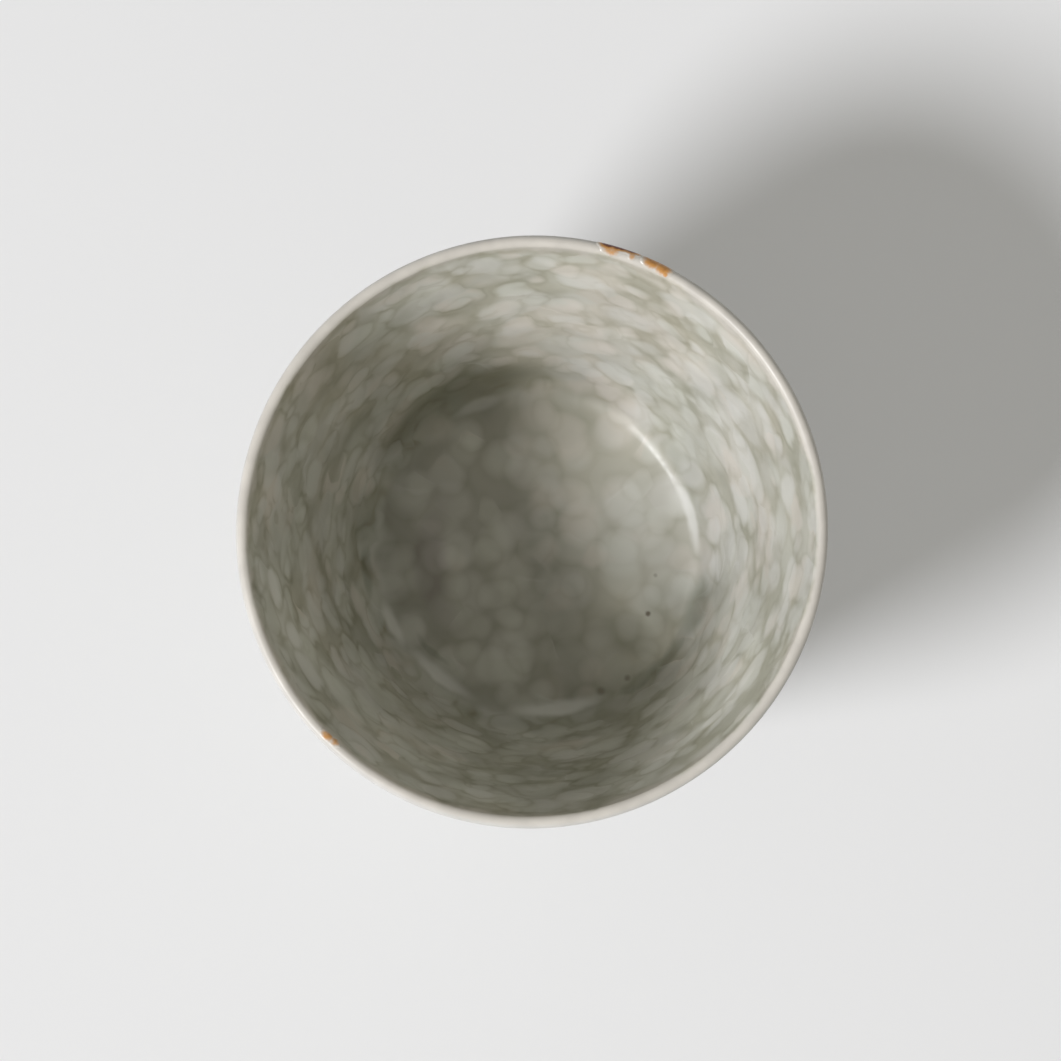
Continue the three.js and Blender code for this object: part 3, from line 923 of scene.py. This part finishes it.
def iron_film_tree(name, patches, hand_thrown):
    """A thin closed film on the lip that stands proud only where its patches of iron lie."""
    tree, g, given, out = new_tree(name, {
        "Bearing": ("Float", 0.0),
        "Length": ("Float", 6 * MM),
        "Width": ("Float", 2 * MM),
        "Middle": ("Float", 1 * MM),
        "Film": ("Float", MARK_FILM),
        "Sink": ("Float", MARK_SINK),
        "Lip Section Radius": ("Float", LIP_RADIUS),
        "Lip Ring Radius": ("Float", LIP_CENTRE.x),
        "Lip Ring Height": ("Float", LIP_CENTRE.y),
        "Mouth Radius": ("Float", MOUTH_RADIUS),
        "Finish": ("Material", None),
    })
    x, y, _ = g.split(g.add("GeometryNodeInputPosition").outputs[0])
    along = g.math("MULTIPLY", x, given["Length"])
    over = g.math("MULTIPLY_ADD", y, given["Width"], given["Middle"])

    seeded = g.joined(along, over, given["Bearing"])
    ragged = g.drift(seeded, MARK_RAGGED_SCALE, MARK_RAGGED_REACH, detail=3.0)
    place = g.vector("ADD", g.joined(along, over, 0.0), ragged)
    place = g.vector("MULTIPLY", place, (1.0, 1.0, 0.0))
    iron = 0.0
    for middle_along, middle_over, half_length, half_width, strength in patches:
        offset = g.vector("SUBTRACT", place, (middle_along, middle_over, 0.0))
        distance = g.length(g.vector("DIVIDE", offset, (half_length, half_width, 1.0)))
        iron = g.math("MAXIMUM", iron, g.step(distance, 0.2, 1.15, strength, 0.0))
    # The border is zero along the sheet's edges and one in its middle.
    border = g.math("MULTIPLY", g.math("SUBTRACT", 0.25, g.math("MULTIPLY", x, x)),
                    g.math("SUBTRACT", 0.25, g.math("MULTIPLY", y, y)))
    border = g.math("MULTIPLY", border, 16.0)
    iron = g.math("MULTIPLY", iron, g.step(border, 0.0, 0.15))

    def on_lip(depth):
        section = g.math("DIVIDE", over, given["Lip Section Radius"])
        reach = g.math("ADD", given["Lip Section Radius"], depth)
        radial = g.math("MULTIPLY_ADD", g.math("COSINE", section), reach, given["Lip Ring Radius"])
        height = g.math("MULTIPLY_ADD", g.math("SINE", section), reach, given["Lip Ring Height"])
        bearing = g.math("ADD", given["Bearing"], g.math("DIVIDE", along, given["Mouth Radius"]))
        return g.joined(g.math("MULTIPLY", radial, g.math("COSINE", bearing)),
                        g.math("MULTIPLY", radial, g.math("SINE", bearing)), height)

    def face(depth):
        size = {"Size X": 1.0, "Size Y": 1.0, "Vertices X": MARK_COLUMNS, "Vertices Y": MARK_ROWS}
        sheet = g.add("GeometryNodeMeshGrid", size).outputs[0]
        held = {"Geometry": sheet, "Name": "iron", "Value": iron}
        marked = g.add("GeometryNodeStoreNamedAttribute", held, data_type="FLOAT", domain="POINT").outputs[0]
        return g.add("GeometryNodeSetPosition", {"Geometry": marked, "Position": on_lip(depth)}).outputs[0]

    sunk = g.math("MULTIPLY", given["Sink"], -1.0)
    proud = g.math("MULTIPLY", g.step(iron, 0.0, 0.14), given["Film"])
    outer = g.add("GeometryNodeFlipFaces", {"Mesh": face(g.math("ADD", sunk, proud))}).outputs[0]
    inner = face(g.math("MULTIPLY_ADD", border, sunk, sunk))
    both = g.add("GeometryNodeJoinGeometry")
    for side in (outer, inner):
        g.tree.links.new(side, both.inputs[0])
    finish_tree(g, both.outputs[0], FILM_WELD, hand_thrown, given, out)
    return tree


# The pieces of the cup


def seat(piece, node):
    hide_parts(node)
    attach(piece, "root")


def dress():
    """Makes every piece of the cup and puts it in the place of its solid."""
    hand_thrown = hand_thrown_tree()
    turned = turned_tree(hand_thrown)
    mottled = glaze("mottled_glaze", smoothest=0.28, roughest=0.36, gloss=0.33)
    thin = glaze("lip_glaze", smoothest=0.32, roughest=0.40, gloss=0.3)
    clay = bare_clay()
    enamel = iron_enamel()

    inside = (SPANS["inside"][0], SPANS["floor"][1])
    clay_values = {
        "Relief": CLAY_RELIEF, "Relief Size": CLAY_RELIEF_SIZE, "Relief Level": 1.0, "Ring Depth": 0.0,
    }
    edge_values = {"Edge Height": GLAZE_LINE, "Edge Wander": EDGE_WANDER}
    coats = {
        "clay_body": (clay_loop(), clay, "clay", clay_values),
        "outer_glaze": (coat_loop(*SPANS["outside"]), mottled, "mottled_glaze", edge_values),
        "lip_glaze": (coat_loop(*SPANS["lip"]), thin, "lip_glaze", {}),
        "inner_glaze": (coat_loop(*inside), mottled, "mottled_glaze", {"Corner Swell": CORNER_SWELL}),
        "base_glaze": (base_glaze_loop(), mottled, "mottled_glaze", {"Ring Depth": 0.0}),
    }
    for node, (loop, finish, slot, values) in coats.items():
        piece = baked("cup_" + node, profile_mesh(node, loop), turned, {"Finish": finish, **values})
        seat(piece, node)

    for node, mark in IRON_MARKS.items():
        tree = iron_film_tree(node + "_film", mark["patches"], hand_thrown)
        values = {key: value for key, value in mark.items() if key != "patches"}
        values["Bearing"] = math.radians(mark["Bearing"])
        values["Finish"] = enamel
        piece = baked("cup_" + node, bpy.data.meshes.new(node + "_seed"), tree, values)
        seat(piece, node)


# Stage, light and camera

FLOOR_COLOUR = (0.652, 0.655, 0.657, 1)
FLOOR_GLOW = 0.165
FLOOR_SIDE = 8.0
CAMERA_DISTANCE = 0.8
CAMERA_TILT = math.radians(3.86)
CAMERA_SWAY = math.radians(1.18)
CAMERA_AIM = Vector((-0.165 * MM, 0.0, HEIGHT))
LENS = 197.9
KEY_BEARING = math.radians(LIGHT_BEARING)
KEY_ELEVATION = math.radians(44.5)
KEY_DISTANCE = 3.6
KEY_SIZE = 1.14
KEY_POWER = 128.0
KEY_COLOUR = (1.0, 1.0, 1.03)
ROOM_COLOUR = (1.0, 0.975, 0.88, 1)
HORIZON = 0.38
ZENITH = 0.20
SIDE_LIGHT = 0.10


def make_floor():
    """A pale floor with a faint glow that shows only when seen or mirrored, so that it hardly lights."""
    mesh = bpy.data.meshes.new("floor")
    half = FLOOR_SIDE / 2
    corners = [(-half, -half, 0), (half, -half, 0), (half, half, 0), (-half, half, 0)]
    mesh.from_pydata(corners, [], [(0, 1, 2, 3)])
    floor = bpy.data.objects.new("floor", mesh)
    bpy.context.scene.collection.objects.link(floor)
    material, g, shader = new_material("pale_floor")
    shader.inputs["Base Color"].default_value = FLOOR_COLOUR
    shader.inputs["Roughness"].default_value = 0.9
    shader.inputs["Specular IOR Level"].default_value = 0.1
    shader.inputs["Emission Color"].default_value = (1, 1, 1, 1)
    seen = g.add("ShaderNodeLightPath").outputs
    indirect = g.math("MAXIMUM", seen["Is Glossy Ray"], seen["Is Transmission Ray"])
    shown = g.math("MAXIMUM", seen["Is Camera Ray"], indirect)
    g.feed(shader.inputs["Emission Strength"], g.math("MULTIPLY", shown, FLOOR_GLOW))
    mesh.materials.append(material)


def make_world():
    """An even room, brighter at the horizon than overhead and a little brighter from the right."""
    world = bpy.data.worlds.new("studio")
    bpy.context.scene.world = world
    world.use_nodes = True
    g = Graph(world.node_tree)
    direction = g.add("ShaderNodeTexCoord").outputs["Generated"]
    right, _, height = g.split(g.vector("NORMALIZE", direction))
    inputs = {"Value": height, "From Min": 0.0, "From Max": 1.0, "To Min": HORIZON, "To Max": ZENITH}
    level = g.add("ShaderNodeMapRange", inputs).outputs[0]
    shader = world.node_tree.nodes["Background"]
    shader.inputs["Color"].default_value = ROOM_COLOUR
    g.feed(shader.inputs["Strength"], g.math("MULTIPLY_ADD", right, SIDE_LIGHT, level))


def make_soft_light():
    lamp = bpy.data.lights.new("soft_key", "AREA")
    lamp.shape = "DISK"
    lamp.size = KEY_SIZE
    lamp.energy = KEY_POWER
    lamp.color = KEY_COLOUR
    light = bpy.data.objects.new("soft_key", lamp)
    level = math.cos(KEY_ELEVATION)
    up = math.sin(KEY_ELEVATION)
    to_lamp = Vector((level * math.cos(KEY_BEARING), level * math.sin(KEY_BEARING), up))
    light.location = to_lamp * KEY_DISTANCE
    light.rotation_euler = (-to_lamp).to_track_quat("-Z", "Y").to_euler()
    bpy.context.scene.collection.objects.link(light)


def make_camera():
    camera = bpy.data.objects.new("camera", bpy.data.cameras.new("camera"))
    camera.data.lens = LENS
    back = Vector((math.tan(CAMERA_SWAY), -math.tan(CAMERA_TILT), 1.0)).normalized()
    right = Vector((0, 1, 0)).cross(back).normalized()
    up = back.cross(right)
    turn = Matrix((right, up, back)).transposed()
    place = CAMERA_AIM + back * CAMERA_DISTANCE
    camera.matrix_world = Matrix.Translation(place) @ turn.to_4x4()
    bpy.context.scene.collection.objects.link(camera)
    bpy.context.scene.camera = camera


dress()
make_floor()
make_world()
make_soft_light()
make_camera()
bpy.context.scene.view_settings.view_transform = "Standard"
